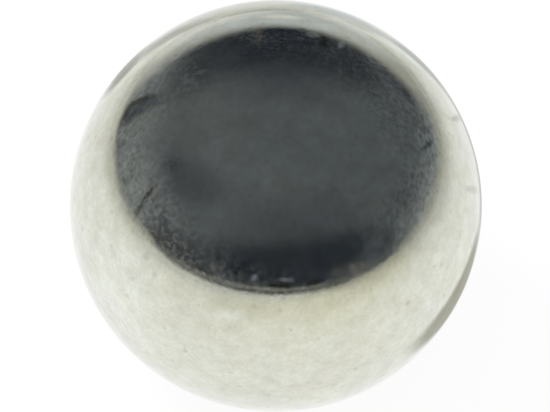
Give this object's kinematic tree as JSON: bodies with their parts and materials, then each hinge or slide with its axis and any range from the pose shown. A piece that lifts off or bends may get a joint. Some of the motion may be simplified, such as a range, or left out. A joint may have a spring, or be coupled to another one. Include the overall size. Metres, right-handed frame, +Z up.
{
  "type": "steel ball",
  "caption": "Solid round steel ball, ground and lapped to a mirror finish, that rolls or sits in a race, cup or detent.",
  "frame": {"origin": "centre of the ball", "axes": "+Z is up as the ball lies in the picture, away from the seat it rests in; the ball is the same about every axis through the origin"},
  "size_m": [0.01, 0.01, 0.01],
  "materials": {
    "polished_steel": "polished"
  },
  "bodies": {
    "root": {"ball": "polished_steel"}
  },
  "joints": []
}
